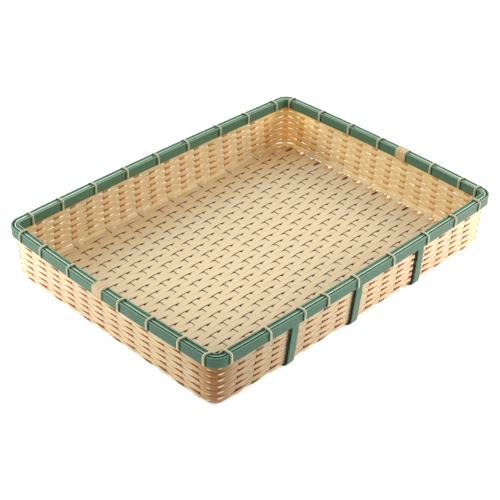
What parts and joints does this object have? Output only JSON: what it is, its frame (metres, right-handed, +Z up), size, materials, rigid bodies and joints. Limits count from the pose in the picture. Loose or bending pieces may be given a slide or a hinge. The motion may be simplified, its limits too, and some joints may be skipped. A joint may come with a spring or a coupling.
{
  "type": "draining basket",
  "caption": "Shallow rectangular woven strainer basket of split bamboo with a lashed green rim and carrying straps under its floor.",
  "frame": {"origin": "under the centre of the tray, on the surface it stands on", "axes": "+X along the long side, +Y along the short side, +Z up"},
  "size_m": [0.3622, 0.2692, 0.0556],
  "materials": {
    "woven_bamboo": "smooth split bamboo, satin",
    "weaver_bamboo": "smooth split bamboo, satin",
    "rim_green": "green stained bamboo skin, satin gloss",
    "filler_green": "pale green stained bamboo edges",
    "tie_strand": "thin pale split strand",
    "binder_skin": "wide pale bamboo skin"
  },
  "bodies": {
    "root": {"woven_base": "woven_bamboo", "corner_stake_1": "woven_bamboo", "corner_stake_2": "woven_bamboo", "corner_stake_3": "woven_bamboo", "corner_stake_4": "woven_bamboo", "weaver_01": "weaver_bamboo", "weaver_02": "weaver_bamboo", "weaver_03": "weaver_bamboo", "weaver_04": "weaver_bamboo", "weaver_05": "weaver_bamboo", "weaver_06": "weaver_bamboo", "weaver_07": "weaver_bamboo", "weaver_08": "weaver_bamboo", "weaver_09": "weaver_bamboo", "weaver_10": "weaver_bamboo", "weaver_11": "weaver_bamboo", "weaver_12": "weaver_bamboo", "weaver_13": "weaver_bamboo", "rim_weaver": "weaver_bamboo", "outer_hoop": "rim_green", "inner_hoop": "rim_green", "rim_filler_1": "filler_green", "rim_filler_2": "filler_green", "strap_1": "rim_green", "strap_2": "rim_green", "strap_3": "rim_green", "tie_front_1": "tie_strand", "tie_front_2": "tie_strand", "tie_front_3": "tie_strand", "tie_front_4": "tie_strand", "tie_front_5": "tie_strand", "tie_front_6": "tie_strand", "tie_front_7": "tie_strand", "tie_front_8": "tie_strand", "tie_front_9": "tie_strand", "tie_back_1": "tie_strand", "tie_back_2": "tie_strand", "tie_back_3": "tie_strand", "tie_back_4": "tie_strand", "tie_back_5": "tie_strand", "tie_back_6": "tie_strand", "tie_back_7": "tie_strand", "tie_back_8": "tie_strand", "tie_back_9": "tie_strand", "tie_left_1": "tie_strand", "tie_left_2": "tie_strand", "tie_left_3": "tie_strand", "tie_left_4": "tie_strand", "tie_left_5": "tie_strand", "tie_left_6": "tie_strand", "tie_left_7": "tie_strand", "tie_right_1": "tie_strand", "tie_right_2": "tie_strand", "tie_right_3": "tie_strand", "tie_right_4": "tie_strand", "tie_right_5": "tie_strand", "tie_right_6": "tie_strand", "tie_right_7": "tie_strand", "binder_left": "binder_skin", "binder_right": "binder_skin"}
  },
  "joints": []
}
